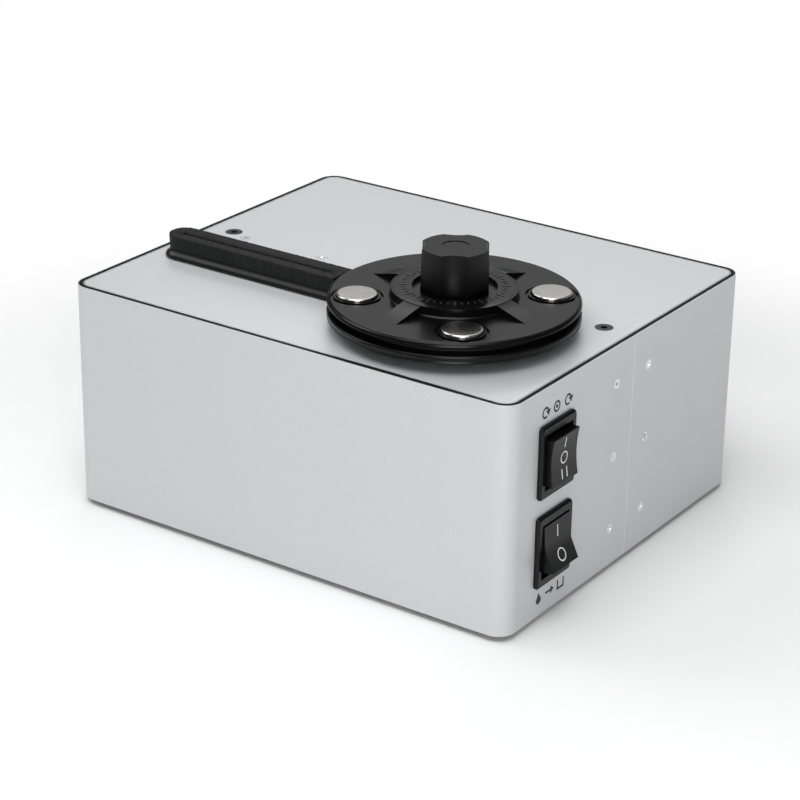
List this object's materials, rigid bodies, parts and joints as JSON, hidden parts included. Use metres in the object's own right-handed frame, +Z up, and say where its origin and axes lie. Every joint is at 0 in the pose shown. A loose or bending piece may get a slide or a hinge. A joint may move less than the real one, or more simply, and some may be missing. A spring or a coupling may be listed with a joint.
{
  "type": "record cleaning machine",
  "caption": "Low box-shaped record cleaning machine of aluminium composite with a screw-down disc clamp, two side rocker switches and a loose wash brush.",
  "frame": {"origin": "middle of the machine's box in plan, on the plane that the feet stand on", "axes": "+Z up, +X towards the side with the two switches, -Y towards the long front face, +Y towards the rear fittings"},
  "size_m": [0.2582, 0.225, 0.1549],
  "materials": {
    "aluminium_skin": "fine satin coated aluminium",
    "panel_core": "black polyethylene core",
    "black_steel": "black powder coat",
    "raw_aluminium": "mill finish",
    "zinc_steel": "bright zinc plate",
    "black_screw": "dark plated steel",
    "rubber": "black rubber",
    "switch_black": "semi-gloss moulded nylon",
    "brass": "plain brass",
    "bronze": "sintered bronze",
    "black_anodised": "black anodised aluminium",
    "moulded_black": "satin moulded black plastic",
    "steel_shaft": "ground steel",
    "steel_plug": "satin stainless steel",
    "motor_can": "plated steel can",
    "grey_plastic": "natural polypropylene",
    "hose": "rubber hose",
    "capacitor": "aluminium can",
    "board": "glass fibre board",
    "bristle": "soft black hair"
  },
  "bodies": {
    "cabinet": {"front_wrap_skins": "aluminium_skin", "front_wrap_core": "panel_core", "rear_wrap_skins": "aluminium_skin", "rear_wrap_core": "panel_core", "top_plate_skins": "aluminium_skin", "top_plate_core": "panel_core", "base_plate": "black_steel", "panel_rails": "raw_aluminium", "seam_brackets": "zinc_steel", "seam_screws": "zinc_steel", "deck_screws": "black_screw", "tank_screws": "zinc_steel", "base_screws": "zinc_steel", "feet": "rubber", "motor_switch_body": "switch_black", "vacuum_switch_body": "switch_black", "switch_terminals": "brass", "bearing_flange": "black_anodised", "bearing_bush": "bronze", "drive_screws": "zinc_steel", "motor_plate": "black_steel", "motor_standoffs": "raw_aluminium", "gearbox": "motor_can", "gear_motor": "motor_can", "turbine_case": "grey_plastic", "turbine_motor": "motor_can", "turbine_bracket": "black_steel", "suction_hose": "hose", "tank": "grey_plastic", "tank_lid": "grey_plastic", "arm_port": "moulded_black", "arm_hose": "hose", "drain_spout": "moulded_black", "drain_hose": "hose", "exhaust_grille": "moulded_black", "power_inlet": "switch_black", "inlet_pins": "brass", "rear_screws": "zinc_steel", "run_capacitor": "capacitor", "terminal_board": "board"},
    "platter": {"platter": "black_anodised", "platter_mat": "rubber", "spindle": "steel_shaft", "drive_coupling": "steel_shaft", "output_shaft": "steel_shaft"},
    "clamp": {"clamp_disc": "moulded_black", "clamp_seal": "rubber", "clamp_plugs": "steel_plug"},
    "knob": {"clamp_knob": "moulded_black", "knob_insert": "brass", "knob_retainer": "steel_shaft"},
    "motor_rocker": {"motor_rocker": "switch_black"},
    "vacuum_rocker": {"vacuum_rocker": "switch_black"},
    "turbine_rotor": {"impeller": "grey_plastic", "turbine_shaft": "steel_shaft"},
    "drain_plug": {"drain_plug": "rubber"},
    "fuse_drawer": {"fuse_drawer": "switch_black"},
    "brush": {"brush_body": "moulded_black", "brush_bristles": "bristle"}
  },
  "joints": [
    {"name": "platter_spin", "type": "hinge", "parent": "cabinet", "child": "platter", "pos_m": [0.04892, -0.049, 0.1244], "axis": [0, 0, 1], "continuous": true},
    {"name": "clamp_lift", "type": "slide", "parent": "platter", "child": "clamp", "axis": [0, 0, 1], "range_m": [0, 0.009]},
    {"name": "knob_turn", "type": "hinge", "parent": "clamp", "child": "knob", "pos_m": [0.04892, -0.049, 0.134], "axis": [0, 0, 1], "range_deg": [0, 2160]},
    {"name": "motor_rocker_tilt", "type": "hinge", "parent": "cabinet", "child": "motor_rocker", "pos_m": [0.11812, -0.07475, 0.08], "axis": [0, 1, 0], "range_deg": [-12, 12]},
    {"name": "vacuum_rocker_tilt", "type": "hinge", "parent": "cabinet", "child": "vacuum_rocker", "pos_m": [0.11812, -0.07475, 0.036], "axis": [0, 1, 0], "range_deg": [0, 28]},
    {"name": "turbine_spin", "type": "hinge", "parent": "cabinet", "child": "turbine_rotor", "pos_m": [0.02992, 0.0355, 0.068], "axis": [1, 0, 0], "continuous": true},
    {"name": "drain_plug_pull", "type": "slide", "parent": "cabinet", "child": "drain_plug", "axis": [0, 1, 0], "range_m": [0, 0.016]},
    {"name": "fuse_drawer_pull", "type": "slide", "parent": "cabinet", "child": "fuse_drawer", "axis": [0, 1, 0], "range_m": [0, 0.018]},
    {"name": "brush_lift", "type": "slide", "parent": "cabinet", "child": "brush", "axis": [0, 0, 1], "range_m": [0, 0.04]}
  ],
  "couplings": [
    {"joint": "knob_turn", "follows": "clamp_lift", "rad_per_m": 4188.8}
  ]
}
